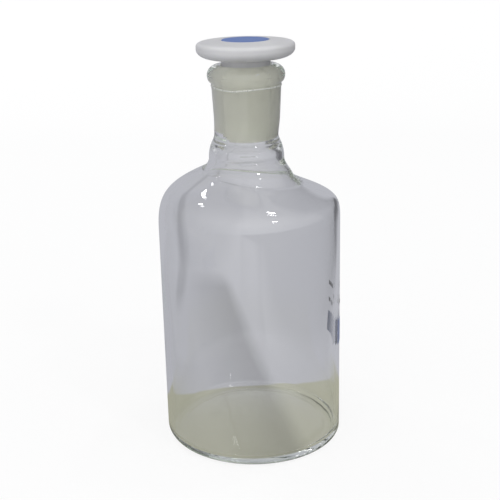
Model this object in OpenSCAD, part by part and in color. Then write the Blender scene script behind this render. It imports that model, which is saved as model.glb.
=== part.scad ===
// Narrow-mouth reagent bottle with a ground conical joint and a flat-headed plastic stopper.
// Millimetres. The origin is the centre of the foot, on the bench, and +Z is the bottle's axis.

/* [Body] */
// Outside diameter of the round body
body_d = 70; // [64:0.5:76]
// Height at which the straight wall ends and the shoulder begins
shoulder_z = 91.5; // [80:0.5:100]
// Thickness of the blown wall
wall = 2.0; // [1.5:0.1:2.6]
// Slope of the shoulder above the horizontal, in degrees
shoulder_slope = 32.5; // [28:0.5:38]
// Outside radius where the wall turns into the shoulder
shoulder_round = 9.8; // [6:0.2:12]

/* [Foot] */
// Outside radius of the heel
heel_round = 3; // [2:0.5:5]
// Width of the flat ring that the bottle stands on
foot_w = 2.5; // [1.5:0.5:4]
// Rise of the push-up at the centre of the underside
push_up = 3; // [2:0.5:5]
// Thickness of the glass at the centre of the bottom
floor_t = 2.6; // [2:0.2:5]
// Inside radius between the floor and the wall
floor_round = 3; // [2.5:0.5:8]

/* [Neck] */
// Outside diameter at the root of the neck
neck_root_d = 28.5; // [27:0.5:31]
// Outside radius of the hollow curve between the shoulder and the neck
root_round = 6; // [3:0.5:7]
// Radius of the swelling at the foot of the neck
bulb_round = 13.5; // [12:0.5:20]
// Turn of that swelling towards the axis, in degrees
bulb_turn = 27; // [20:1:28]
// Radius of the hollow above the swelling
waist_round = 6.2; // [4:0.2:8]

/* [Mouth and ground joint] */
// Height of the mouth above the bench
mouth_h = 148; // [144:0.5:156]
// Diameter of the wide end of the ground joint
joint_d = 18.8; // [18.8]
// Length of the ground joint
joint_len = 26; // [26]
// Change in diameter for each unit of length along the joint
joint_taper = 0.1; // [0.1]
// Depth of the wide end of the joint below the mouth
joint_drop = 2; // [1:0.5:3]
// Outside diameter of the bead round the mouth
lip_d = 29; // [28:0.1:31]
// Height of the bead above its widest line
lip_rise = 3.8; // [3:0.2:5]
// Height of the bead below its widest line
lip_fall = 2.7; // [2.6:0.2:4]
// Rounding of the inner edge of the mouth
mouth_round = 0.9; // [0.5:0.1:1.2]

/* [Stopper] */
// Diameter of the flat head
head_d = 36.5; // [32:0.5:40]
// Height of the gap between the mouth and the head
head_gap = 2.4; // [1.5:0.1:4]
// Thickness of the head at its rim
rim_h = 5.8; // [5:0.1:7]
// Rise of the crowned top from the rim to the insert
crown = 0.7; // [0.4:0.1:1.2]
// Length of the plug below the head
plug_len = 22.9; // [20:0.1:28]
// Clearance all round between the plug and the ground joint
plug_gap = 0.06; // [0.03:0.01:0.1]
// Wall of the hollow plug
plug_wall = 1.9; // [1.5:0.1:2.4]

/* [Insert] */
// Diameter of the coloured disc in the head
insert_d = 17.8; // [16:0.2:20]
// Thickness of that disc
insert_t = 1.6; // [1.2:0.1:2]
// Depth of the ring below the disc that grips the plug's hollow
spigot_h = 4; // [3:0.5:6]
// Amount by which the ring is larger in radius than the hollow
press = 0.04; // [0.02:0.01:0.08]

/* [Enamel print] */
// Thickness of the fired enamel
enamel_t = 0.12; // [0.08:0.02:0.2]
// Lowest line of the filled panel
panel_z = 38; // [30:0.5:45]
// Height of the filled panel
panel_h = 11.5; // [8:0.5:14]
// First edge of the print, as an angle about the axis from +X
print_from = -17; // [-40:1:0]
// Last edge of the print, as an angle about the axis from +X
print_to = 15; // [10:1:60]

/* [Hidden] */
$fn = 180;
eps = 0.01;

// A circular arc as points: centre, radius, and first and last angle.
function arc(c, r, a0, a1, n = 10) =
    [for (i = [0:n]) let (a = a0 + (a1 - a0) * i / n) c + r * [cos(a), sin(a)]];
// A quarter or less of an ellipse as points: centre, half-width, half-height, angles.
function oval(c, rx, rz, a0, a1, n = 10) =
    [for (i = [0:n]) let (a = a0 + (a1 - a0) * i / n) c + [rx * cos(a), rz * sin(a)]];
// Radius of a spherical cap from its half-width and its height.
function cap_radius(half, rise) = (half * half + rise * rise) / (2 * rise);

body_r = body_d / 2;
turn = 90 - shoulder_slope;
neck_r = neck_root_d / 2;

// The shoulder's cone runs between the two rounds that it is tangent to.
cone_low = [body_r - shoulder_round * (1 - cos(turn)), shoulder_z + shoulder_round * sin(turn)];
cone_top_r = neck_r + root_round * (1 - cos(turn));
root_z = cone_low.y + (cone_low.x - cone_top_r) * tan(shoulder_slope) + root_round * sin(turn);

// The neck swells at its root, draws in to a waist and then follows the joint's taper.
bulb_end_r = neck_r - bulb_round * (1 - cos(bulb_turn));
waist_r = bulb_end_r - waist_round * (1 - cos(bulb_turn));
waist_z = root_z + (bulb_round + waist_round) * sin(bulb_turn);
lip_z = mouth_h - lip_rise;
neck_top_z = lip_z - lip_fall;

// The ground joint: its ends, and its radius at any height.
joint_top_z = mouth_h - joint_drop;
joint_low_z = joint_top_z - joint_len;
function joint_r(z) = joint_d / 2 + (z - joint_top_z) * joint_taper / 2;
neck_top_r = waist_r + (neck_top_z - waist_z) * joint_taper / 2;
mouth_in_r = joint_r(mouth_h - mouth_round);
lip_centre_r = mouth_in_r + mouth_round;

// The inside floor is a shallow dome over the push-up, and a round leads from it to the wall.
in_r = body_r - wall;
foot_in_r = body_r - heel_round - foot_w;
dome_r = cap_radius(foot_in_r, push_up);
floor_dome_r = dome_r + floor_t;
dome_z = push_up - dome_r;
floor_round_r = in_r - floor_round;
floor_round_z = dome_z + sqrt(pow(floor_dome_r + floor_round, 2) - pow(floor_round_r, 2));
floor_turn = atan2(floor_round_r, floor_round_z - dome_z);
foot_turn = asin(foot_in_r / dome_r);

// Outline of the underside and the outside, from the centre of the push-up to the mouth.
function outside() = concat(
    arc([0, dome_z], dome_r, 90, 90 - foot_turn, 8),
    arc([body_r - heel_round, heel_round], heel_round, -90, 0, 10),
    arc([body_r - shoulder_round, shoulder_z], shoulder_round, 0, turn),
    arc([neck_r + root_round, root_z], root_round, 180 + turn, 180, 8),
    arc([neck_r - bulb_round, root_z], bulb_round, 0, bulb_turn, 8),
    arc([waist_r + waist_round, waist_z], waist_round, 180 + bulb_turn, 180, 6),
    oval([neck_top_r, lip_z], lip_d / 2 - neck_top_r, lip_fall, -90, 0),
    oval([lip_centre_r, lip_z], lip_d / 2 - lip_centre_r, lip_rise, 0, 90));

// Outline of the inside, from the mouth down to the centre of the floor.
function inside() = concat(
    arc([lip_centre_r, mouth_h - mouth_round], mouth_round, 90, 180, 5),
    [[joint_r(joint_low_z), joint_low_z]],
    oval([joint_r(joint_low_z), root_z], neck_r - wall - joint_r(joint_low_z), joint_low_z - root_z, 90, 0),
    arc([neck_r + root_round, root_z], root_round + wall, 180, 180 + turn, 8),
    arc([body_r - shoulder_round, shoulder_z], shoulder_round - wall, turn, 0, 8),
    arc([floor_round_r, floor_round_z], floor_round, 0, floor_turn - 90, 8),
    arc([0, dome_z], floor_dome_r, 90 - floor_turn, 90, 8));

module glass_bottle() {
    color([0.80, 0.82, 0.82, 0.5])
        rotate_extrude()
            polygon(concat(outside(), inside()));
}

// The stopper's heights, from the underside of its head.
head_z = mouth_h + head_gap;
rim_z = head_z + rim_h;
top_z = rim_z + crown;
plug_low_z = head_z - plug_len;
seat_z = top_z - insert_t;
function plug_r(z) = joint_r(z) - plug_gap;
collar_low_z = joint_top_z + 1;
collar_r = plug_r(joint_top_z) - 0.2;
bore_r = collar_r - plug_wall - 0.3;
bore_turn_z = head_z - 1;
bore_low_z = plug_low_z + plug_wall;
rim_under = 3.3;
rim_over = 1.5;
tip = 0.6;
fillet = 0.8;

// Head and plug: a rounded, slightly crowned disc over a thin collar and the conical plug.
function stopper_outside() = concat(
    [[0, plug_low_z]],
    arc([plug_r(plug_low_z) - tip, plug_low_z + tip], tip, -90, 0, 4),
    [[plug_r(collar_low_z), collar_low_z], [collar_r, collar_low_z + 0.5]],
    arc([collar_r + fillet, head_z - fillet], fillet, 180, 90, 4),
    oval([head_d / 2 - 1.6 * rim_under, head_z + rim_under], 1.6 * rim_under, rim_under, -90, 0),
    oval([head_d / 2 - 1.3 * rim_over, rim_z - rim_over], 1.3 * rim_over, rim_over, 0, 86, 8),
    [[insert_d / 2, top_z]]);

// Seat for the insert and the hollow of the plug.
function stopper_inside() = [
    [insert_d / 2, seat_z],
    [bore_r, seat_z],
    [bore_r, bore_turn_z - spigot_h],
    [plug_r(bore_low_z) - plug_wall, bore_low_z + tip],
    [plug_r(bore_low_z) - plug_wall - tip, bore_low_z],
    [0, bore_low_z]];

module stopper() {
    color([0.90, 0.90, 0.90])
        rotate_extrude()
            polygon(concat(stopper_outside(), stopper_inside()));
}

// A disc that lies flush in the head, with a ring below it that grips the hollow.
module stopper_insert() {
    disc_r = insert_d / 2 - 0.05;
    grip_r = bore_r + press;
    ring_t = 1.2;
    edge = 0.3;
    color([0.27, 0.42, 0.70])
        rotate_extrude()
            polygon(concat(
                [[0, seat_z], [grip_r - ring_t, seat_z], [grip_r - ring_t, seat_z - spigot_h]],
                [[grip_r - edge, seat_z - spigot_h], [grip_r, seat_z - spigot_h + 2 * edge]],
                [[grip_r, seat_z], [disc_r, seat_z]],
                arc([disc_r - edge, top_z - edge], edge, 0, 90, 4),
                [[0, top_z]]));
}

// A patch of enamel that wraps the body between two angles and two heights.
module patch(from, to, low, high) {
    rotate([0, 0, from])
        rotate_extrude(angle = to - from)
            translate([body_r, low])
                square([enamel_t, high - low]);
}

module enamel_panel() {
    color([0.42, 0.46, 0.58])
        patch(print_from, print_to, panel_z, panel_z + panel_h);
}

// Plain rule lines above the panel, cut into dashes of different lengths.
module enamel_marks() {
    dash_h = 1.8;
    row_pitch = 3.6;
    first_row_z = panel_z + panel_h + 1.1;
    span = print_to - print_from;
    rows = [[0.60, 0.78, 0.86, 1.00], [0.28, 0.40, 0.50, 0.64], [0.66, 1.00]];
    color([0.45, 0.46, 0.47])
        for (row = [0:2], dash = [0:2:len(rows[row]) - 2])
            patch(print_from + rows[row][dash] * span,
                  print_from + rows[row][dash + 1] * span,
                  first_row_z + row * row_pitch,
                  first_row_z + row * row_pitch + dash_h);
}

glass_bottle();
stopper();
stopper_insert();
enamel_panel();
enamel_marks();
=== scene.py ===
"""Reagent bottle: blown glass with a ground joint, a moulded stopper, its disc and the fired print."""
import math

import bpy
import numpy as np
from bpy.props import FloatProperty, FloatVectorProperty, PointerProperty
from bpy.types import Operator, Panel, PropertyGroup
from mathutils import Matrix, Vector


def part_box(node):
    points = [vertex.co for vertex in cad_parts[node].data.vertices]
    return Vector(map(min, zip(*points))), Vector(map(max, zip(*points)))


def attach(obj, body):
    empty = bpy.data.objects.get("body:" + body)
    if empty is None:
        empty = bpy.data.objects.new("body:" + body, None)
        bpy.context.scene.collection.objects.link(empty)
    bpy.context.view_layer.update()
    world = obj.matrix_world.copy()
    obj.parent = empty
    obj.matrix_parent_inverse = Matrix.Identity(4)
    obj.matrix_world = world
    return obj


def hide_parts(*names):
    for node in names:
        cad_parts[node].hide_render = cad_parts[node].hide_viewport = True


bl_info = {
    "name": "Reagent bottle",
    "version": (1, 0, 0),
    "blender": (4, 5, 0),
    "location": "View3D > Sidebar > Reagent bottle",
    "description": "Builds the visual pieces of a narrow-mouth reagent bottle on its packed frame",
    "category": "Object",
}

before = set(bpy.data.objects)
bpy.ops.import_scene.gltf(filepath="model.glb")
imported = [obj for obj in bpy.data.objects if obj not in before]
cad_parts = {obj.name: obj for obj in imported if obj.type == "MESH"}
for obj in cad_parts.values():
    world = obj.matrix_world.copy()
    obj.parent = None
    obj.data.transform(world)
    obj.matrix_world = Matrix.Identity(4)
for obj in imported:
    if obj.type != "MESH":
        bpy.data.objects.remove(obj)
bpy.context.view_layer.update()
MM = 0.001
PAST_AXIS = 0.1 * MM
GLASS_IOR = 1.52
PLASTIC_IOR = 1.5


def node_size(node):
    """Lowest corner, highest corner of a frame node, in metres."""
    low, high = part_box(node)
    return Vector(low), Vector(high)


BOTTLE_LOW, BOTTLE_HIGH = node_size("glass_bottle")
STOPPER_LOW, STOPPER_HIGH = node_size("stopper")
INSERT_LOW, INSERT_HIGH = node_size("stopper_insert")
PANEL_LOW, PANEL_HIGH = node_size("enamel_panel")
MARKS_LOW, MARKS_HIGH = node_size("enamel_marks")


# ---------------------------------------------------------------- settings


def length(name, text, default, top=0.2):
    """A size in metres that the sidebar shows with its unit."""
    return FloatProperty(name=name, description=text, default=default, min=-top, max=top, unit="LENGTH")


def tint(name, text, default):
    """A colour without alpha."""
    return FloatVectorProperty(
        name=name, description=text, default=default, size=3, min=0.0, max=1.0, subtype="COLOR"
    )


def share(name, text, default, top=1.0):
    """A plain number."""
    return FloatProperty(name=name, description=text, default=default, min=0.0, max=top)


def pair(name, text, left, right, unit="LENGTH"):
    """A size on the left of the bottle and on its right."""
    both = text + ", left and right"
    return FloatVectorProperty(name=name, description=both, default=(left, right), size=2, unit=unit)


def turn(name, text, default):
    """An angle given in degrees and kept in radians."""
    return FloatProperty(name=name, description=text, default=math.radians(default), subtype="ANGLE")


class BottleSettings(PropertyGroup):
    """Sizes of the blown glass, and its colour."""

    body_radius: length("Body radius", "Outside radius of the straight wall", BOTTLE_HIGH.y)
    mouth_height: length("Mouth height", "Height of the mouth above the bench", BOTTLE_HIGH.z, 0.3)
    wall: length("Wall", "Thickness of the blown wall", 2.0 * MM)
    shoulder_height: pair("Shoulder height", "Height where the wall turns in", 87.1 * MM, 89.2 * MM)
    shoulder_pull: pair("Shoulder pull", "How far it follows the wall before it turns", 13.7 * MM, 9.9 * MM)
    shoulder_reach: pair("Shoulder reach", "How far it keeps its slope at the neck", 14.5 * MM, 14.6 * MM)
    shoulder_slope: pair(
        "Shoulder slope", "Slope at the neck", math.radians(25.1), math.radians(28.7), "ROTATION"
    )
    shoulder_top: pair("Shoulder top", "Height where that slope would meet the neck", 110.4 * MM, 106.4 * MM)
    root_round: pair("Root round", "Hollow radius between shoulder and neck", 4.6 * MM, 11.7 * MM)
    heel_round: pair("Heel round", "Outside radius at the bottom of the wall", 4.2 * MM, 1.8 * MM)
    foot_radius: length("Foot radius", "Radius at which the push-up starts", 29.5 * MM)
    push_up: length("Push-up", "Rise of the underside at its centre", 3.0 * MM)
    floor: length("Floor", "Thickness of the glass at the centre of the bottom", 2.4 * MM)
    floor_round: length("Floor round", "Inside radius between floor and wall", 2.6 * MM)
    neck_radius: length("Neck radius", "Outside radius at the root of the neck", 14.25 * MM)
    root_skirt: pair("Root skirt", "How much the glass stands out at that hollow", 0.2 * MM, 0.9 * MM)
    skirt_height: length("Skirt height", "Height at which it stands out most", 107.5 * MM)
    bulb_height: length("Bulb height", "Height of the widest line of the swelling above it", 113.4 * MM)
    throat_pull: length("Throat pull", "How far the inside runs straight before it widens", 1.9 * MM)
    bulb_wall: length("Bulb wall", "Thickness of the swelling at the root of the neck", 2.3 * MM)
    throat_reach: length("Throat reach", "How far the inside keeps the shoulder's slope", 3.0 * MM)
    bulb_round: length("Bulb round", "Radius of the swelling at the root of the neck", 13.5 * MM)
    bulb_turn: turn("Bulb turn", "Turn of that swelling towards the axis", 27.0)
    waist_round: length("Waist round", "Hollow radius above the swelling", 6.2 * MM)
    lip_radius: length("Lip radius", "Outside radius of the bead round the mouth", 14.5 * MM)
    lip_rise: length("Lip rise", "Height of the bead above its widest line", 3.8 * MM)
    lip_fall: length("Lip fall", "Height of the bead below its widest line", 2.7 * MM)
    mouth_round: length("Mouth round", "Rounding of the inner edge of the mouth", 0.9 * MM)
    joint_radius: length("Joint radius", "Radius at the wide end of the ground joint", 9.4 * MM)
    joint_length: length("Joint length", "Length of the ground joint", 26.0 * MM)
    joint_drop: length("Joint drop", "Depth of the wide end below the mouth", 2.0 * MM)
    joint_taper: share("Joint taper", "Change of radius for each unit of length", 0.05)
    ridge_depth: length("Ridge depth", "Depth of the tooling ridge below the mouth", 7.7 * MM)
    ridge_dip: length("Ridge dip", "How far the ridge dips at its lowest point", 0.7 * MM)
    ridge_turn: turn("Ridge turn", "Direction of that lowest point", -115.0)
    ridge_spread: turn("Ridge spread", "How far round the dip reaches", 45.0)
    ridge_width: length("Ridge width", "Half-width of the ridge", 0.42 * MM)
    ridge_height: length("Ridge height", "How far the ridge stands out", 0.22 * MM)
    neck_set: length("Neck set", "How far the root of the neck sits off the axis", 0.5 * MM)
    unevenness: length("Unevenness", "How much the wall's thickness varies", 0.15 * MM)
    colour: tint("Glass tint", "Colour that thick glass takes on", (0.82, 0.90, 0.84))
    depth: share("Tint depth", "How strongly thick glass is tinted", 6.0, 1000.0)
    ground_roughness: share("Ground roughness", "Roughness of the ground joint", 0.55)
    ground_clarity: share("Ground clarity", "How much light passes straight into the ground joint", 0.25)
    ground_colour: tint("Ground colour", "Colour of the ground joint", (1.0, 1.0, 0.86))


class StopperSettings(PropertyGroup):
    """Sizes of the moulded stopper and its disc, and their colours."""

    head_radius: length("Head radius", "Radius of the flat head", STOPPER_HIGH.x)
    head_height: length("Head height", "Height of the underside of the head", 150.4 * MM, 0.3)
    rim_height: length("Rim height", "Thickness of the head at its rim", 5.8 * MM)
    rim_under: length("Rim under", "Height of the rounding below the rim", 3.3 * MM)
    rim_over: length("Rim over", "Height of the rounding above the rim", 1.5 * MM)
    plug_gap: length("Plug gap", "Clearance between plug and ground joint", 0.06 * MM)
    plug_wall: length("Plug wall", "Wall of the hollow plug", 1.9 * MM)
    insert_radius: length("Insert radius", "Radius of the seat of the coloured disc", 8.9 * MM)
    insert_thickness: length("Insert thickness", "Thickness of the coloured disc", 1.6 * MM)
    spigot: length("Spigot", "Depth of the ring below the disc", 4.0 * MM)
    colour: tint("Stopper colour", "Colour of the natural plastic", (0.63, 0.63, 0.64))
    insert_colour: tint("Insert colour", "Colour of the disc", (0.085, 0.17, 0.46))


class PrintSettings(PropertyGroup):
    """Thickness and colours of the fired print."""

    thickness: length("Thickness", "How far the enamel stands out of the glass", 0.1 * MM)
    sunk: length("Sunk", "How far the enamel is fused into the glass", 0.04 * MM)
    fall: length("Fall", "How much lower the panel's top is at its far end", 3.0 * MM)
    step_up: length("Step up", "How much higher the panel's bottom is at its near end", 1.0 * MM)
    panel_colour: tint("Panel colour", "Colour of the filled panel", (0.27, 0.31, 0.48))
    marks_colour: tint("Marks colour", "Colour of the rule lines", (0.27, 0.27, 0.26))


class StageSettings(PropertyGroup):
    """Camera, floor and lights."""

    distance: length("Distance", "Horizontal distance from the axis to the camera", 378.9 * MM, 2.0)
    height: length("Height", "Height of the camera above the bench", 201.5 * MM, 2.0)
    pitch: turn("Pitch", "How far the camera looks down", 18.364)
    roll: turn("Roll", "How far the camera is rolled", -1.295)
    lens: share("Lens", "Focal length for a sensor 36 mm wide", 73.62, 500.0)
    paper_colour: tint("Paper colour", "Colour of the paper as the camera sees it", (1.0, 1.0, 1.0))
    shade: share("Shade", "How much of the paper's brightness depends on the light", 0.15)
    wall_colour: tint("Wall colour", "Backdrop, as rays other than the camera's see it", (0.47, 0.475, 0.515))
    bench_colour: tint("Bench colour", "Floor under the bottle, as those rays see it", (0.40, 0.40, 0.32))
    # Painted light: the paper in front glows brighter than the rest and lights the bottle.
    front_glow: tint("Front colour", "Paper in front of the bottle, which lights it", (0.92, 0.92, 0.92))
    dim_strip: share("Dim strip", "Brightness of the strip on the right that the edges reflect", 0.3)
    wedge_depth: share("Wedge depth", "Darkness of the wide soft shadow behind the bottle", 0.33)
    band_depth: share("Band depth", "Darkness of the narrow soft shadow on its left", 0.24)
    bench_edge: length("Bench edge", "Distance behind the axis at which the wall's tone begins", 35.0 * MM)
    bench_slant: share("Bench slant", "How much further back that is for each unit to the right", 0.14)


# ---------------------------------------------------------------- shapes


def smooth(value, low, high):
    """0 below low and 1 above high, with a smooth step (3t^2 - 2t^3) between them."""
    t = np.clip((value - low) / (high - low), 0.0, 1.0)
    return t * t * (3.0 - 2.0 * t)


def sweep(centre, half, first, last, count):
    """Part of an ellipse: centre plus half-width times cosine and half-height times sine, angles in degrees.

    Each number may also be a column with one row for each direction round the axis.
    """
    angle = np.radians(first + (last - first) * np.linspace(0.0, 1.0, count))
    return centre[0] + half[0] * np.cos(angle), centre[1] + half[1] * np.sin(angle)


def straight(start, end, count):
    """Evenly spaced points strictly between two (radius, height) points."""
    share_along = np.linspace(0.0, 1.0, count + 2)[1:-1]
    return (start[0] + (end[0] - start[0]) * share_along, start[1] + (end[1] - start[1]) * share_along)


def joined(rows, *runs):
    """Runs of (radius, height) laid end to end, each widened to one row for each direction."""

    def widened(values):
        values = np.atleast_2d(values)
        return np.broadcast_to(values, (rows, values.shape[1]))

    return tuple(np.concatenate([widened(run[part]) for run in runs], 1) for part in (0, 1))


def round_rows(angle, radius, height):
    """The one outline of a round piece, repeated for every direction."""
    rows = (len(angle), radius.shape[1])
    return np.broadcast_to(radius, rows), np.broadcast_to(height, rows)


def directions(count):
    """Column of evenly spaced directions round the axis, in radians from +X."""
    return (np.arange(count) * (2.0 * np.pi / count))[:, None]


def wave(angle, height, pitch, seed):
    """Slow unevenness of blown glass: three cosines of the angle and the height, from -1 to 1."""
    first = np.cos(2.0 * angle + height / pitch + seed)
    second = np.cos(3.0 * angle - 1.7 * height / pitch + 2.1 * seed)
    third = np.cos(5.0 * angle + 2.9 * height / pitch + 3.7 * seed)
    return (first + 0.7 * second + 0.4 * third) / 2.1


def grid_faces(rows, cols):
    """Quads of a grid that closes on itself along its rows, with a triangle fan at each end."""
    r, c = np.meshgrid(np.arange(rows), np.arange(cols - 1), indexing="ij")
    here, beyond = r * cols + c, ((r + 1) % rows) * cols + c
    quads = np.stack([here, beyond, beyond + 1, here + 1], -1).reshape(-1, 4)
    low, high = rows * cols, rows * cols + 1
    row = np.arange(rows)
    after = (row + 1) % rows
    low_fan = np.stack([np.full(rows, low), after * cols, row * cols], -1)
    high_fan = np.stack([np.full(rows, high), row * cols + cols - 1, after * cols + cols - 1], -1)
    return quads, np.concatenate([low_fan, high_fan])


def make_piece(name, points, faces, materials):
    """Mesh object at the origin from arrays of points and faces, shaded smooth."""
    mesh = bpy.data.meshes.new(name)
    mesh.from_pydata(points.tolist(), [], [f.tolist() for group in faces for f in group])
    for material in materials:
        mesh.materials.append(material)
    mesh.polygons.foreach_set("use_smooth", np.ones(len(mesh.polygons), dtype=bool))
    mesh.update()
    piece = bpy.data.objects.new(name, mesh)
    bpy.context.scene.collection.objects.link(piece)
    return piece


def revolve(name, angle, radius, height, materials, shift=None):
    """Closed turned body: each row is an outline from pole to pole, turned by its own angle about +Z.

    x is the radius times the cosine of the angle, y the radius times its sine, z the height, and
    shift, if given, moves points sideways along x. The first and last columns lie on the axis.
    """
    ring_r, ring_z = radius[:, 1:-1], height[:, 1:-1]
    x = ring_r * np.cos(angle) + (0.0 if shift is None else shift[:, 1:-1])
    y = ring_r * np.sin(angle)
    points = np.stack([x, y, np.broadcast_to(ring_z, x.shape)], -1).reshape(-1, 3)
    poles = np.array([[0.0, 0.0, height[:, 0].mean()], [0.0, 0.0, height[:, -1].mean()]])
    quads, fans = grid_faces(*ring_r.shape)
    return make_piece(name, np.concatenate([points, poles]), [quads, fans], materials)


# ---------------------------------------------------------------- materials


def new_material(name):
    """Empty node material, with its tree and its output."""
    material = bpy.data.materials.new(name)
    material.use_nodes = True
    tree = material.node_tree
    tree.nodes.clear()
    return material, tree, tree.nodes.new("ShaderNodeOutputMaterial")


def set_inputs(node, values):
    """Sets a node's inputs from a dictionary of socket names."""
    for key, value in values.items():
        node.inputs[key].default_value = value


def object_noise(tree, scale, detail=3.0, stretch=(1.0, 1.0, 1.0)):
    """Noise that stays in place on the piece, stretched along its axes."""
    place = tree.nodes.new("ShaderNodeTexCoord")
    mapping = tree.nodes.new("ShaderNodeMapping")
    mapping.inputs["Scale"].default_value = stretch
    tree.links.new(place.outputs["Object"], mapping.inputs["Vector"])
    noise = tree.nodes.new("ShaderNodeTexNoise")
    set_inputs(noise, {"Scale": scale, "Detail": detail})
    tree.links.new(mapping.outputs["Vector"], noise.inputs["Vector"])
    return noise


def ramp(tree, source, low, high, dark, light):
    """Colour between dark and light as the source goes from low to high."""
    node = tree.nodes.new("ShaderNodeMapRange")
    set_inputs(node, {"From Min": low, "From Max": high})
    tree.links.new(source, node.inputs["Value"])
    mix = tree.nodes.new("ShaderNodeMix")
    mix.data_type = "RGBA"
    mix.inputs["A"].default_value = (*dark, 1.0)
    mix.inputs["B"].default_value = (*light, 1.0)
    tree.links.new(node.outputs["Result"], mix.inputs["Factor"])
    return mix.outputs["Result"]


def spread(tree, source, low, high, first, last):
    """Number between first and last as the source goes from low to high."""
    node = tree.nodes.new("ShaderNodeMapRange")
    set_inputs(node, {"From Min": low, "From Max": high, "To Min": first, "To Max": last})
    tree.links.new(source, node.inputs["Value"])
    return node.outputs["Result"]


def bump(tree, source, strength, distance):
    """Bump normal from a height."""
    node = tree.nodes.new("ShaderNodeBump")
    set_inputs(node, {"Strength": strength, "Distance": distance})
    tree.links.new(source, node.inputs["Height"])
    return node.outputs["Normal"]


def tinted_glass(tree, output, look):
    """Absorption inside the glass, so that thick glass shows its tint."""
    inside = tree.nodes.new("ShaderNodeVolumeAbsorption")
    set_inputs(inside, {"Color": (*look.colour, 1.0), "Density": look.depth})
    tree.links.new(inside.outputs["Volume"], output.inputs["Volume"])


def clear_glass(look):
    """Fire-polished glass: smooth, a little wavy, tinted by its own depth."""
    material, tree, output = new_material("clear_glass")
    shader = tree.nodes.new("ShaderNodeBsdfPrincipled")
    set_inputs(shader, {"Base Color": (1.0, 1.0, 1.0, 1.0), "Transmission Weight": 1.0, "IOR": GLASS_IOR})
    ripple = object_noise(tree, 45.0, 2.0, (1.0, 1.0, 0.5))
    tree.links.new(bump(tree, ripple.outputs["Fac"], 0.25, 0.0008), shader.inputs["Normal"])
    film = object_noise(tree, 160.0, 4.0)
    tree.links.new(spread(tree, film.outputs["Fac"], 0.45, 0.8, 0.0, 0.02), shader.inputs["Roughness"])
    tree.links.new(shader.outputs["BSDF"], output.inputs["Surface"])
    tinted_glass(tree, output, look)
    return material


def ground_glass(look):
    """Glass ground matt with abrasive: rough, with a fine grain and faint rings from the tool."""
    material, tree, output = new_material("ground_glass")
    shader = tree.nodes.new("ShaderNodeBsdfPrincipled")
    set_inputs(shader, {
        "Base Color": (*look.ground_colour, 1.0),
        "Transmission Weight": look.ground_clarity,
        "IOR": GLASS_IOR,
    })
    rings = object_noise(tree, 60.0, 4.0, (1.0, 1.0, 40.0))
    rough = look.ground_roughness
    roughness = spread(tree, rings.outputs["Fac"], 0.3, 0.7, rough - 0.08, rough + 0.08)
    tree.links.new(roughness, shader.inputs["Roughness"])
    grain = object_noise(tree, 2500.0, 2.0)
    tree.links.new(bump(tree, grain.outputs["Fac"], 0.4, 0.0001), shader.inputs["Normal"])
    tree.links.new(shader.outputs["BSDF"], output.inputs["Surface"])
    tinted_glass(tree, output, look)
    return material


def painted_ridge_highlight(look):
    """Painted highlight along the tooling ridge: whitish glass, only partly clear, standing in for the light
    the ridge catches.
    """
    material, tree, output = new_material("painted_ridge_highlight")
    shader = tree.nodes.new("ShaderNodeBsdfPrincipled")
    # Whitish base colour: the painted highlight on the ridge line.
    set_inputs(shader, {"Base Color": (0.74, 0.74, 0.71, 1.0), "Transmission Weight": 0.35, "IOR": GLASS_IOR})
    drag = object_noise(tree, 900.0, 3.0, (1.0, 1.0, 0.2))
    tree.links.new(spread(tree, drag.outputs["Fac"], 0.3, 0.7, 0.2, 0.45), shader.inputs["Roughness"])
    tree.links.new(shader.outputs["BSDF"], output.inputs["Surface"])
    tinted_glass(tree, output, look)
    return material


def moulded_plastic(name, colour, soft, rough):
    """Polyethylene: waxy, a little uneven in tone, with the fine skin of the mould."""
    material, tree, output = new_material(name)
    shader = tree.nodes.new("ShaderNodeBsdfPrincipled")
    set_inputs(shader, {"IOR": PLASTIC_IOR, "Subsurface Weight": soft, "Subsurface Radius": (0.9, 0.9, 1.0)})
    shader.inputs["Subsurface Scale"].default_value = 0.003
    cloud = object_noise(tree, 90.0, 4.0)
    dark, light = [c * 0.95 for c in colour], [min(c * 1.04, 1.0) for c in colour]
    tree.links.new(ramp(tree, cloud.outputs["Fac"], 0.3, 0.7, dark, light), shader.inputs["Base Color"])
    roughness = spread(tree, cloud.outputs["Fac"], 0.3, 0.7, rough - 0.05, rough + 0.07)
    tree.links.new(roughness, shader.inputs["Roughness"])
    skin = object_noise(tree, 1400.0, 3.0)
    tree.links.new(bump(tree, skin.outputs["Fac"], 0.15, 0.0001), shader.inputs["Normal"])
    tree.links.new(shader.outputs["BSDF"], output.inputs["Surface"])
    return material


def fired_enamel(name, colour):
    """Fired enamel: matt, faintly mottled, with pinholes in its surface."""
    material, tree, output = new_material(name)
    shader = tree.nodes.new("ShaderNodeBsdfPrincipled")
    set_inputs(shader, {"IOR": 1.5, "Specular IOR Level": 0.1})
    mottle = object_noise(tree, 500.0, 4.0)
    dark, light = [c * 0.85 for c in colour], [min(c * 1.15, 1.0) for c in colour]
    tree.links.new(ramp(tree, mottle.outputs["Fac"], 0.35, 0.65, dark, light), shader.inputs["Base Color"])
    tree.links.new(spread(tree, mottle.outputs["Fac"], 0.3, 0.7, 0.45, 0.7), shader.inputs["Roughness"])
    grain = object_noise(tree, 3000.0, 2.0)
    tree.links.new(bump(tree, grain.outputs["Fac"], 0.3, 0.00005), shader.inputs["Normal"])
    tree.links.new(shader.outputs["BSDF"], output.inputs["Surface"])
    return material


# ---------------------------------------------------------------- the blown glass


def joint_radius(b, height):
    """Radius of the ground joint's cone at a height."""
    return b.joint_radius + (height - (b.mouth_height - b.joint_drop)) * b.joint_taper


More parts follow.
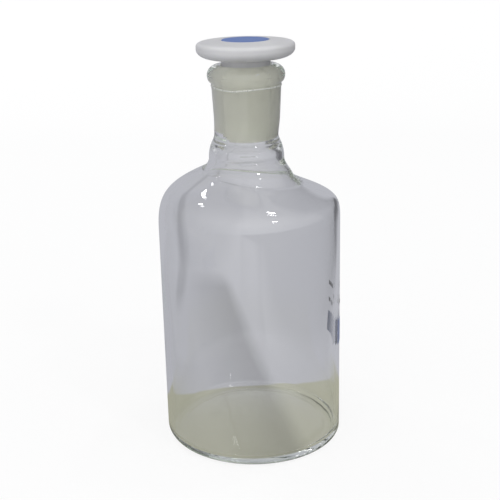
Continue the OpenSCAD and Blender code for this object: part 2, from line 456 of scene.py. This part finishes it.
def bezier(start, pull, reach, end, count):
    """Cubic curve from four (radius, height) points, and the outward normal at each of its points.

    Its points are the four weighted by (1-t)^3, 3t(1-t)^2, 3t^2(1-t) and t^3, and its normal is
    its direction turned a quarter circle towards the outside.
    """
    t = np.linspace(0.0, 1.0, count)
    weights = ((1 - t) ** 3, 3 * t * (1 - t) ** 2, 3 * t**2 * (1 - t), t**3)
    slopes = (-3 * (1 - t) ** 2, 3 * (1 - t) * (1 - 3 * t), 3 * t * (2 - 3 * t), 3 * t**2)
    corners = (start, pull, reach, end)
    radius, height = (sum(w * c[axis] for w, c in zip(weights, corners)) for axis in (0, 1))
    along_r, along_z = (sum(w * c[axis] for w, c in zip(slopes, corners)) for axis in (0, 1))
    size = np.hypot(along_r, along_z)
    return radius, height, along_z / size, -along_r / size


def glass_outline(b, angle):
    """Outline of the bottle for each direction, from the centre of the push-up round to the inside floor.

    The outside is a spherical push-up, a flat foot, a round heel, the wall, a cubic shoulder, a
    hollow into a bulb, a waist and the joint's taper, then a bead of two quarter ellipses.
    The inside follows it one wall inwards, except in the ground joint, which is a true cone, and
    below the joint, where two cubic curves widen it into the swelling and on to the shoulder.
    The hollow at the neck's root is tighter on one side of the bottle than on the other.
    """
    r, w = b.body_radius, b.wall
    swell = math.degrees(b.bulb_turn)
    side = (1.0 + np.cos(angle)) / 2.0
    pairs = (
        b.shoulder_height, b.shoulder_pull, b.shoulder_reach, b.shoulder_slope, b.shoulder_top, b.root_round,
    )
    start_z, pull, reach, slope, cone_z, root = (left + (right - left) * side for left, right in pairs)
    top_r = b.neck_radius + root * (1.0 - np.sin(slope))
    top_z = cone_z - (top_r - b.neck_radius) * np.tan(slope)
    root_z = top_z + root * np.cos(slope)
    bulb_z = b.bulb_height
    knee = (top_r + reach * np.cos(slope), top_z - reach * np.sin(slope))
    shoulder = bezier((r, start_z), (r, start_z + pull), knee, (top_r, top_z), 34)
    turned = 90.0 - np.degrees(slope)
    bulb_in_r = b.neck_radius - b.bulb_wall
    throat_end = (top_r - w * np.sin(slope), top_z - w * np.cos(slope))
    throat_knee = (
        throat_end[0] - b.throat_reach * np.cos(slope),
        throat_end[1] + b.throat_reach * np.sin(slope),
    )
    bulb_end_r = b.neck_radius - b.bulb_round * (1.0 - math.cos(b.bulb_turn))
    waist_r = bulb_end_r - b.waist_round * (1.0 - math.cos(b.bulb_turn))
    waist_z = bulb_z + (b.bulb_round + b.waist_round) * math.sin(b.bulb_turn)
    lip_z = b.mouth_height - b.lip_rise
    neck_top_z = lip_z - b.lip_fall
    neck_top_r = waist_r + (neck_top_z - waist_z) * b.joint_taper
    mouth_r = joint_radius(b, b.mouth_height - b.mouth_round) + b.mouth_round
    joint_top = b.mouth_height - b.joint_drop
    joint_low = joint_top - b.joint_length
    joint_low_r = joint_radius(b, joint_low)
    heel = b.heel_round[0] + (b.heel_round[1] - b.heel_round[0]) * side
    foot_r = b.foot_radius
    dome = (foot_r**2 + b.push_up**2) / (2.0 * b.push_up)
    dome_z = b.push_up - dome
    floor_r = r - w - b.floor_round
    floor_z = dome_z + math.sqrt((dome + b.floor + b.floor_round) ** 2 - floor_r**2)
    floor_turn = math.degrees(math.atan2(floor_r, floor_z - dome_z))
    foot_turn = math.degrees(math.asin(foot_r / dome))
    into_bulb = bezier(
        (joint_low_r, joint_low), (joint_low_r, joint_low - b.throat_pull),
        (bulb_in_r, bulb_z + 2.0 * b.throat_pull), (bulb_in_r, bulb_z), 24,
    )
    out_of_bulb = bezier(
        (bulb_in_r, bulb_z), (bulb_in_r, bulb_z - b.throat_pull), throat_knee, throat_end, 24,
    )
    outside = [
        sweep((0.0, dome_z), (dome, dome), 90.0, 90.0 - foot_turn, 26),
        sweep((r - heel, heel), (heel, heel), -90.0, 0.0, 18),
        straight((r, heel), (r, start_z), 20),
        shoulder[:2],
        sweep((b.neck_radius + root, root_z), (root, root), 180.0 + turned, 180.0, 15),
        sweep((b.neck_radius - b.bulb_round, bulb_z), (b.bulb_round, b.bulb_round), 0.0, swell, 14),
        sweep((waist_r + b.waist_round, waist_z), (b.waist_round, b.waist_round), 180.0 + swell, 180.0, 8),
        straight((waist_r, waist_z), (neck_top_r, neck_top_z), 70),
        sweep((neck_top_r, lip_z), (b.lip_radius - neck_top_r, b.lip_fall), -90.0, 0.0, 14),
        sweep((mouth_r, lip_z), (b.lip_radius - mouth_r, b.lip_rise), 0.0, 90.0, 18),
    ]
    inside = [
        sweep((mouth_r, b.mouth_height - b.mouth_round), (b.mouth_round, b.mouth_round), 90.0, 180.0, 10),
        straight((mouth_r - b.mouth_round, b.mouth_height - b.mouth_round), (joint_low_r, joint_low), 26),
        into_bulb[:2],
        (out_of_bulb[0][:, 1:], out_of_bulb[1][:, 1:]),
        ((shoulder[0] - w * shoulder[2])[:, -2::-1], (shoulder[1] - w * shoulder[3])[:, -2::-1]),
        straight((r - w, start_z), (r - w, floor_z), 20),
        sweep((floor_r, floor_z), (b.floor_round, b.floor_round), 0.0, floor_turn - 90.0, 14),
        sweep((0.0, dome_z), (dome + b.floor, dome + b.floor), 90.0 - floor_turn, 90.0, 22),
    ]
    radius, height = joined(len(angle), *outside, *inside)
    outer_count = sum(np.shape(np.atleast_2d(run[0]))[1] for run in outside)
    return radius, height, outer_count, (joint_low, joint_top)


def hand_of_the_blower(b, angle, radius, height, outer_count):
    """Unevenness of a blown bottle: a neck set off the axis and a wall that varies.

    The neck's root moves sideways by a bump in height. The inside wall moves by a slow wave.
    """
    top = b.bulb_height
    rising, falling = smooth(height, top - 13 * MM, top - 4 * MM), smooth(height, top + 5 * MM, top + 16 * MM)
    shift = -b.neck_set * rising * (1.0 - falling)
    skirt = b.root_skirt[0] + (b.root_skirt[1] - b.root_skirt[0]) * (1.0 + np.cos(angle)) / 2.0
    middle = b.skirt_height
    standing_out = smooth(height, middle - 4 * MM, middle) * (1.0 - smooth(height, middle, middle + 5 * MM))
    radius = radius + skirt * standing_out
    is_inside = np.arange(radius.shape[1])[None, :] >= outer_count
    below_joint = 1.0 - smooth(height, top - 4 * MM, top + 4 * MM)
    above_floor = smooth(radius, 0.3 * b.body_radius, 0.8 * b.body_radius)
    uneven = wave(angle, height, 16 * MM, 0.6) * b.unevenness
    radius = radius + np.where(is_inside, uneven * below_joint * above_floor, 0.0)
    return radius, height, shift


def tooling_ridge(b, angle, radius, height, outer_count):
    """Low ridge round the neck under the bead, which dips to a point on one side.

    Its line falls by a share of the distance round from its lowest point. The outline's points
    near it move up or down onto that line, and the ridge is a bell curve across it, added to the
    outside radius. Returns the outline and the columns that make the ridge.
    """
    away = np.abs(np.angle(np.exp(1j * (angle - b.ridge_turn))))
    drop = b.ridge_dip * (np.minimum(away / b.ridge_spread, 1.0) ** 0.9 - 1.0)
    middle = b.mouth_height - b.ridge_depth
    above = smooth(height, middle + 0.6 * MM, middle + 1.8 * MM)
    near = smooth(height, middle - 6 * MM, middle - 1 * MM) * (1.0 - above)
    outside = np.arange(radius.shape[1])[None, :] < outer_count
    from_line = height - middle
    bell = np.exp(-((from_line / b.ridge_width) ** 2))
    moved = np.where(outside, drop * near, 0.0)
    columns = np.flatnonzero((np.abs(from_line[0]) < 0.9 * b.ridge_width) & outside[0])
    ridge = np.where(outside, b.ridge_height * bell, 0.0)
    return radius + ridge + moved * b.joint_taper, height + moved, columns


def surface_radius(b, angle, height):
    """Outside radius of the body's wall, which the print lies on."""
    return np.full(np.broadcast(angle, height).shape, b.body_radius)


class BOTTLE_OT_blow_glass(Operator):
    """Blow the glass bottle and grind its joint"""

    bl_idname = "bottle.blow_glass"
    bl_label = "Blow the glass"

    def execute(self, context):
        b = context.scene.bottle_glass
        angle = directions(208)
        radius, height, outer_count, joint = glass_outline(b, angle)
        radius, height, ridge = tooling_ridge(b, angle, radius, height, outer_count)
        radius, height, shift = hand_of_the_blower(b, angle, radius, height, outer_count)
        skins = [clear_glass(b), ground_glass(b), painted_ridge_highlight(b)]
        glass = revolve("bottle_glass", angle, radius, height, skins, shift)
        count = len(glass.data.polygons)
        centres = np.empty(count * 3, dtype=np.float32)
        glass.data.polygons.foreach_get("center", centres)
        centres = centres.reshape(-1, 3)
        from_axis = np.hypot(centres[:, 0], centres[:, 1])
        bore = from_axis < joint_radius(b, centres[:, 2]) + 0.3 * MM
        ground = bore & (centres[:, 2] > joint[0] + 0.1 * MM) & (centres[:, 2] < joint[1] + 1.2 * MM)
        index = ground.astype(np.int32)
        face, across = np.arange(count), radius.shape[1] - 3
        # Faces along the ridge take slot 2, the painted highlight.
        index[np.isin(face % across, ridge - 1) & (face < len(angle) * across)] = 2
        glass.data.polygons.foreach_set("material_index", index)
        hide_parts("glass_bottle")
        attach(glass, "bottle")
        return {"FINISHED"}


# ---------------------------------------------------------------- stopper and disc


def stopper_outline(b, s):
    """Outline of the stopper from the tip of its plug, round its head, into its hollow.

    A conical plug with a rounded tip, a thin collar, a hollow corner under the head, a rim of two
    quarter ellipses, a slightly crowned top, the seat of the disc and the hollow of the plug.
    """
    top_z = STOPPER_HIGH.z
    tip_z = STOPPER_LOW.z
    rim_z = s.head_height + s.rim_height
    joint_top = b.mouth_height - b.joint_drop
    collar_z = joint_top + 1.0 * MM
    tip, corner = 0.6 * MM, 0.8 * MM

    def plug(z):
        return joint_radius(b, z) - s.plug_gap

    collar = plug(joint_top) - 0.2 * MM
    bore = collar - s.plug_wall - 0.3 * MM
    seat = top_z - s.insert_thickness
    under, over = (1.6 * s.rim_under, s.rim_under), (1.3 * s.rim_over, s.rim_over)
    shoulder = sweep((s.head_radius - over[0], rim_z - s.rim_over), over, 0.0, 86.0, 14)
    rim_end = (shoulder[0][-1], shoulder[1][-1])
    edge = (s.insert_radius + 0.25 * MM, top_z)
    floor = tip_z + s.plug_wall
    bore_low = plug(floor) - s.plug_wall
    return joined(
        1,
        straight((-PAST_AXIS, tip_z), (plug(tip_z) - tip, tip_z), 8),
        sweep((plug(tip_z) - tip, tip_z + tip), (tip, tip), -90.0, 0.0, 8),
        straight((plug(tip_z + tip), tip_z + tip), (plug(collar_z), collar_z), 30),
        straight((plug(collar_z), collar_z), (collar, collar_z + 0.5 * MM), 3),
        straight((collar, collar_z + 0.5 * MM), (collar, s.head_height - corner), 6),
        sweep((collar + corner, s.head_height - corner), (corner, corner), 180.0, 90.0, 8),
        straight((collar + corner, s.head_height), (s.head_radius - under[0], s.head_height), 8),
        sweep((s.head_radius - under[0], s.head_height + s.rim_under), under, -90.0, 0.0, 20),
        shoulder,
        straight(rim_end, edge, 16),
        sweep((edge[0], top_z - 0.25 * MM), (0.25 * MM, 0.25 * MM), 90.0, 180.0, 6),
        straight((s.insert_radius, top_z - 0.25 * MM), (s.insert_radius, seat), 4),
        straight((s.insert_radius, seat), (bore, seat), 4),
        straight((bore, seat), (bore, seat - s.spigot), 4),
        straight((bore, seat - s.spigot), (bore_low, floor + tip), 16),
        straight((bore_low, floor + tip), (0.0, floor), 8),
    )


class BOTTLE_OT_mould_stopper(Operator):
    """Mould the flat-headed stopper with its hollow plug"""

    bl_idname = "bottle.mould_stopper"
    bl_label = "Mould the stopper"

    def execute(self, context):
        b, s = context.scene.bottle_glass, context.scene.bottle_stopper
        radius, height = stopper_outline(b, s)
        angle = directions(192)
        plastic = moulded_plastic("natural_plastic", s.colour, 0.6, 0.38)
        stopper = revolve("stopper_moulding", angle, *round_rows(angle, radius, height), [plastic])
        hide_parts("stopper")
        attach(stopper, "stopper")
        return {"FINISHED"}


class BOTTLE_OT_press_disc(Operator):
    """Press the coloured disc into the stopper's head"""

    bl_idname = "bottle.press_disc"
    bl_label = "Press in the disc"

    def execute(self, context):
        b, s = context.scene.bottle_glass, context.scene.bottle_stopper
        top = INSERT_HIGH.z
        seat = STOPPER_HIGH.z - s.insert_thickness
        disc = s.insert_radius - 0.06 * MM
        collar = joint_radius(b, b.mouth_height - b.joint_drop) - s.plug_gap - 0.2 * MM
        grip = collar - s.plug_wall - 0.3 * MM
        hollow = grip - 1.2 * MM
        edge = 0.3 * MM
        low = seat - s.spigot
        radius, height = joined(
            1,
            straight((-PAST_AXIS, seat), (hollow, seat), 6),
            straight((hollow, seat), (hollow, low), 4),
            straight((hollow, low), (grip - edge, low), 3),
            straight((grip - edge, low), (grip, low + 2 * edge), 2),
            straight((grip, low + 2 * edge), (grip, seat), 4),
            straight((grip, seat), (disc, seat), 3),
            sweep((disc - edge, top - edge), (edge, edge), 0.0, 90.0, 8),
            straight((disc - edge, top), (0.0, top), 14),
        )
        angle = directions(160)
        plastic = moulded_plastic("blue_plastic", s.insert_colour, 0.1, 0.42)
        piece = revolve("stopper_disc", angle, *round_rows(angle, radius, height), [plastic])
        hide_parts("stopper_insert")
        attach(piece, "stopper")
        return {"FINISHED"}


# ---------------------------------------------------------------- print


def patch_points(b, p, first, last, low, high, leans=0.0):
    """Closed curved tile: a grid over angle and height, once on its outer and once on its inner face.

    The outer face stands out of the glass by the enamel's thickness and rounds off at its border
    by a quarter circle, and the inner face lies a little inside the glass. Where it leans, its
    bottom falls from the near end and its top falls towards the far end, both evenly.
    """
    turn_step, height_step, border_round = math.radians(1.2), 0.5 * MM, 0.25 * MM
    across = max(int((last - first) / turn_step), 4)
    up = max(int((high - low) / height_step), 4)
    angle = np.linspace(first, last, across + 1)[:, None]
    back = (angle - first) / (last - first)
    low, high = low + p.step_up * (1.0 - back) * leans, high - p.fall * back * leans
    height = low + (high - low) * np.linspace(0.0, 1.0, up + 1)[None, :]
    base = surface_radius(b, angle, height)
    from_ends = np.minimum(angle - first, last - angle) * b.body_radius
    inward = np.minimum(from_ends, np.minimum(height - low, high - height))
    rise = np.sqrt(np.clip(1.0 - (1.0 - np.clip(inward / border_round, 0.0, 1.0)) ** 2, 0.0, 1.0))
    outer = base - p.sunk + (p.thickness + p.sunk) * rise
    inner = base - p.sunk - 0.02 * MM
    sheets = []
    for radius in (outer, inner):
        x, y = radius * np.cos(angle), radius * np.sin(angle)
        sheets.append(np.stack([x, y, np.broadcast_to(height, x.shape)], -1).reshape(-1, 3))
    rows, cols = across + 1, up + 1
    r, c = np.meshgrid(np.arange(rows - 1), np.arange(cols - 1), indexing="ij")
    here = r * cols + c
    quads = np.stack([here, here + cols, here + cols + 1, here + 1], -1).reshape(-1, 4)
    total = rows * cols
    border = np.concatenate([
        np.arange(rows) * cols,
        (rows - 1) * cols + np.arange(1, cols),
        np.arange(rows - 2, -1, -1) * cols + cols - 1,
        np.arange(cols - 2, 0, -1),
    ])
    after = np.roll(border, -1)
    rim = np.stack([border, border + total, after + total, after], -1)
    faces = np.concatenate([quads, quads[:, ::-1] + total, rim])
    return np.concatenate(sheets), faces


def fire_print(b, p, name, tiles, material, node):
    """One piece of fired enamel from tiles given as (first angle, last angle, low, high)."""
    points, faces, start = [], [], 0
    for tile in tiles:
        tile_points, tile_faces = patch_points(b, p, *tile)
        points.append(tile_points)
        faces.append(tile_faces + start)
        start += len(tile_points)
    piece = make_piece(name, np.concatenate(points), faces, [material])
    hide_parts(node)
    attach(piece, "bottle")
    return piece


def print_span():
    """First and last angle of the print, from the corners of its frame node."""
    first = math.asin(PANEL_LOW.y / BOTTLE_HIGH.y)
    last = math.asin(PANEL_HIGH.y / BOTTLE_HIGH.y)
    return first, last


class BOTTLE_OT_fire_print(Operator):
    """Fire the enamel panel and the rule lines above it"""

    bl_idname = "bottle.fire_print"
    bl_label = "Fire the print"

    def execute(self, context):
        b, p = context.scene.bottle_glass, context.scene.bottle_print
        first, last = print_span()
        span = last - first
        panel = [(first, last, PANEL_LOW.z, PANEL_HIGH.z, 1.0)]
        enamel = fired_enamel("panel_enamel", p.panel_colour)
        fire_print(b, p, "print_panel", panel, enamel, "enamel_panel")
        rows = ((0.60, 0.78, 0.86, 1.00), (0.28, 0.40, 0.50, 0.64), (0.66, 1.00))
        pitch, dash = 3.6 * MM, 1.8 * MM
        lines = [
            (first + row[i] * span, first + row[i + 1] * span, low, low + dash)
            for low, row in zip((MARKS_LOW.z + n * pitch for n in range(len(rows))), rows)
            for i in range(0, len(row), 2)
        ]
        enamel = fired_enamel("marks_enamel", p.marks_colour)
        fire_print(b, p, "print_lines", lines, enamel, "enamel_marks")
        return {"FINISHED"}


# ---------------------------------------------------------------- stage


def blend(tree, kind, factor, first, second):
    """Two colours mixed by a Mix node of that kind; each input is a socket or a plain value."""
    node = tree.nodes.new("ShaderNodeMix")
    node.data_type = "RGBA"
    node.blend_type = kind
    for name, value in (("Factor", factor), ("A", first), ("B", second)):
        if isinstance(value, bpy.types.NodeSocket):
            tree.links.new(value, node.inputs[name])
        else:
            node.inputs[name].default_value = value
    return node.outputs["Result"]


def line_distance(tree, place, across, back, shift=0.0):
    """Distance of a floor point from a line: across times x plus back times y plus shift."""
    dot = tree.nodes.new("ShaderNodeVectorMath")
    dot.operation = "DOT_PRODUCT"
    dot.inputs[1].default_value = (across, back, 0.0)
    tree.links.new(place.outputs["Object"], dot.inputs[0])
    plus = tree.nodes.new("ShaderNodeMath")
    plus.inputs[1].default_value = shift
    tree.links.new(dot.outputs["Value"], plus.inputs[0])
    return plus.outputs["Value"]


def product(tree, first, *others):
    """Product of several numbers."""
    for other in others:
        node = tree.nodes.new("ShaderNodeMath")
        node.operation = "MULTIPLY"
        tree.links.new(first, node.inputs[0])
        tree.links.new(other, node.inputs[1])
        first = node.outputs["Value"]
    return first


def bench_and_wall(tree, place, look):
    """Olive by the bottle, grey behind a slanting line and far out, and a painted pool of light well in
    front, which lights the bottle.
    """
    line = line_distance(tree, place, -look.bench_slant, 1.0, -look.bench_edge)
    past_edge = spread(tree, line, -1 * MM, 1 * MM, 0.0, 1.0)
    from_axis = tree.nodes.new("ShaderNodeVectorMath")
    from_axis.operation = "LENGTH"
    tree.links.new(place.outputs["Object"], from_axis.inputs[0])
    far_out = spread(tree, from_axis.outputs["Value"], 70 * MM, 110 * MM, 0.0, 1.0)
    beyond = tree.nodes.new("ShaderNodeMath")
    beyond.operation = "MAXIMUM"
    tree.links.new(past_edge, beyond.inputs[0])
    tree.links.new(far_out, beyond.inputs[1])
    tone = ramp(tree, beyond.outputs["Value"], 0.0, 1.0, look.bench_colour, look.wall_colour)
    # Painted pool of light: brighter glowing paper well in front.
    ahead = spread(tree, line_distance(tree, place, 0.0, 1.0), -240 * MM, -50 * MM, 1.0, 0.0)
    return blend(tree, "MIX", ahead, tone, (*look.front_glow, 1.0))


def cast_shadows(tree, place, colour, look):
    """The colour under two soft shadows: a wide wedge behind the bottle and a narrow band on the left."""
    edge = line_distance(tree, place, -1.0, -0.172, 15.5 * MM)
    near_edge = spread(tree, edge, -3 * MM, 4 * MM, 0.0, 1.0)
    fading = spread(tree, edge, 6 * MM, 32 * MM, 1.0, 0.25)
    how_far_back = line_distance(tree, place, 0.0, 1.0)
    wedge = product(tree, near_edge, fading, spread(tree, how_far_back, 165 * MM, 195 * MM, 1.0, 0.0))
    off = tree.nodes.new("ShaderNodeMath")
    off.operation = "ABSOLUTE"
    tree.links.new(line_distance(tree, place, 1.0, 0.063, 47 * MM), off.inputs[0])
    wide = spread(tree, off.outputs["Value"], 3 * MM, 10 * MM, 1.0, 0.0)
    band = product(tree, wide, spread(tree, how_far_back, 120 * MM, 160 * MM, 0.0, 1.0))
    for shadow, depth in ((wedge, look.wedge_depth), (band, look.band_depth)):
        shade = ramp(tree, shadow, 0.0, 1.0, (1.0, 1.0, 1.0), (1.0 - depth,) * 3)
        colour = blend(tree, "MULTIPLY", 1.0, colour, shade)
    return colour


def dim_on_the_right(tree, place, colour, look):
    """The colour, dimmed beyond a line on the right, where the edges of the glass reflect it."""
    to_the_right = line_distance(tree, place, 1.0, -0.25)
    strip = ramp(tree, to_the_right, 100 * MM, 160 * MM, (1.0, 1.0, 1.0), (look.dim_strip,) * 3)
    return blend(tree, "MULTIPLY", 1.0, colour, strip)


def studio_paper(look):
    """Two looks in one: plain pale paper for rays straight from the camera, painted tones for all others.

    The painted tones show through the glass and in reflections, and they light the pieces.
    """
    material, tree, output = new_material("studio_paper")
    shade = tree.nodes.new("ShaderNodeBsdfDiffuse")
    shade.inputs["Color"].default_value = (*[c * look.shade for c in look.paper_colour], 1.0)
    glow = tree.nodes.new("ShaderNodeEmission")
    glow.inputs["Color"].default_value = (*[c * (1.0 - look.shade) for c in look.paper_colour], 1.0)
    seen = tree.nodes.new("ShaderNodeAddShader")
    tree.links.new(shade.outputs["BSDF"], seen.inputs[0])
    tree.links.new(glow.outputs["Emission"], seen.inputs[1])
    place = tree.nodes.new("ShaderNodeTexCoord")
    tones = cast_shadows(tree, place, bench_and_wall(tree, place, look), look)
    painted = tree.nodes.new("ShaderNodeEmission")
    tree.links.new(dim_on_the_right(tree, place, tones, look), painted.inputs["Color"])
    ray = tree.nodes.new("ShaderNodeLightPath")
    mix = tree.nodes.new("ShaderNodeMixShader")
    tree.links.new(ray.outputs["Is Camera Ray"], mix.inputs["Fac"])
    tree.links.new(painted.outputs["Emission"], mix.inputs[1])
    tree.links.new(seen.outputs["Shader"], mix.inputs[2])
    tree.links.new(mix.outputs["Shader"], output.inputs["Surface"])
    return material


def studio_sweep(look):
    """Floor that runs back, bends up through a quarter circle and rises as a backdrop."""
    back, bend, wide, rise = 0.55, 0.35, 3.0, 1.6
    bend_y, bend_z = sweep((back, bend), (bend, bend), -90.0, 0.0, 24)
    along = np.concatenate([[-2.5], bend_y, [back + bend]])
    up = np.concatenate([[0.0], bend_z, [rise]]) - 0.2 * MM
    count = len(along)
    points = np.concatenate([np.stack([np.full(count, x), along, up], -1) for x in (-wide, wide)])
    here = np.arange(count - 1)
    quads = np.stack([here, here + count, here + count + 1, here + 1], -1)
    return make_piece("studio_sweep", points, [quads], [studio_paper(look)])


def soft_room():
    """Pale surroundings, a little brighter overhead than at the horizon and much brighter in front."""
    world = bpy.data.worlds.new("soft_room")
    world.use_nodes = True
    tree = world.node_tree
    tree.nodes.clear()
    output = tree.nodes.new("ShaderNodeOutputWorld")
    background = tree.nodes.new("ShaderNodeBackground")
    place = tree.nodes.new("ShaderNodeTexCoord")
    axes = tree.nodes.new("ShaderNodeSeparateXYZ")
    tree.links.new(place.outputs["Generated"], axes.inputs["Vector"])
    height = ramp(tree, axes.outputs["Z"], -0.1, 0.5, (0.33, 0.335, 0.345), (0.47, 0.47, 0.475))
    side = ramp(tree, axes.outputs["Y"], -1.0, 0.3, (3.3, 3.3, 3.26), (0.9, 0.9, 0.9))
    tree.links.new(blend(tree, "MULTIPLY", 1.0, height, side), background.inputs["Color"])
    tree.links.new(background.outputs["Background"], output.inputs["Surface"])
    bpy.context.scene.world = world


def spot_of_light(name, azimuth, elevation, distance, size, radiance, aim):
    """Small round ceiling lamp seen from the bottle at an azimuth from +Y towards +X and an elevation."""
    a, e = math.radians(azimuth), math.radians(elevation)
    way = Vector((math.sin(a) * math.cos(e), math.cos(a) * math.cos(e), math.sin(e)))
    data = bpy.data.lights.new(name, "AREA")
    data.shape = "DISK"
    data.size = size
    data.energy = radiance * math.pi * math.pi * size**2 / 4.0
    lamp = bpy.data.objects.new(name, data)
    lamp.location = aim + way * distance
    lamp.rotation_euler = way.to_track_quat("Z", "Y").to_euler()
    bpy.context.scene.collection.objects.link(lamp)
    return lamp


def place_camera(g):
    """Camera looking along +Y and down by the pitch, then rolled about its own line of sight."""
    data = bpy.data.cameras.new("camera")
    data.sensor_width = 36.0
    data.lens = g.lens
    data.clip_start, data.clip_end = 0.01, 20.0
    camera = bpy.data.objects.new("camera", data)
    look_down = Matrix.Rotation(math.pi / 2 - g.pitch, 4, "X")
    rolled = Matrix.Rotation(g.roll, 4, "Z")
    camera.matrix_world = Matrix.Translation((0.0, -g.distance, g.height)) @ look_down @ rolled
    bpy.context.scene.collection.objects.link(camera)
    bpy.context.scene.camera = camera


class BOTTLE_OT_set_stage(Operator):
    """Set the camera, the floor and the lights"""

    bl_idname = "bottle.set_stage"
    bl_label = "Set the stage"

    def execute(self, context):
        g = context.scene.bottle_stage
        place_camera(g)
        studio_sweep(g)
        soft_room()
        aim = Vector((0.0, 0.0, 110 * MM))
        lamp_distance, lamp_radiance = 1.6, 30.0
        lamps = {
            "lamp_back_left": (-41.0, 54.0, 0.11),
            "lamp_left": (-64.0, 55.0, 0.11),
            "lamp_back_right": (62.0, 70.0, 0.15),
            "lamp_front_right": (140.0, 44.0, 0.16),
        }
        for name, (azimuth, elevation, size) in lamps.items():
            spot_of_light(name, azimuth, elevation, lamp_distance, size, lamp_radiance, aim)
        cycles = context.scene.cycles
        cycles.max_bounces = cycles.transmission_bounces = cycles.glossy_bounces = 64
        cycles.diffuse_bounces = 24
        settings = context.scene.view_settings
        settings.view_transform = "Standard"
        settings.look = "None"
        return {"FINISHED"}


class BOTTLE_PT_build(Panel):
    """Sidebar panel that lists the pieces and their sizes"""

    bl_idname = "BOTTLE_PT_build"
    bl_label = "Reagent bottle"
    bl_space_type = "VIEW_3D"
    bl_region_type = "UI"
    bl_category = "Reagent bottle"

    def draw(self, context):
        for operator, settings in (
            ("bottle.blow_glass", context.scene.bottle_glass),
            ("bottle.mould_stopper", context.scene.bottle_stopper),
            ("bottle.press_disc", None),
            ("bottle.fire_print", context.scene.bottle_print),
            ("bottle.set_stage", context.scene.bottle_stage),
        ):
            box = self.layout.box()
            box.operator(operator)
            for key in settings.__annotations__ if settings else ():
                box.prop(settings, key)


SETTINGS = {
    "bottle_glass": BottleSettings,
    "bottle_stopper": StopperSettings,
    "bottle_print": PrintSettings,
    "bottle_stage": StageSettings,
}
CLASSES = (
    *SETTINGS.values(),
    BOTTLE_OT_blow_glass,
    BOTTLE_OT_mould_stopper,
    BOTTLE_OT_press_disc,
    BOTTLE_OT_fire_print,
    BOTTLE_OT_set_stage,
    BOTTLE_PT_build,
)


def register():
    for cls in CLASSES:
        bpy.utils.register_class(cls)
    for name, group in SETTINGS.items():
        setattr(bpy.types.Scene, name, PointerProperty(type=group))


def unregister():
    for name in SETTINGS:
        delattr(bpy.types.Scene, name)
    for cls in reversed(CLASSES):
        bpy.utils.unregister_class(cls)


def main():
    """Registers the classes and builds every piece."""
    register()
    bpy.ops.bottle.blow_glass()
    bpy.ops.bottle.mould_stopper()
    bpy.ops.bottle.press_disc()
    bpy.ops.bottle.fire_print()
    bpy.ops.bottle.set_stage()


if __name__ == "__main__":
    main()
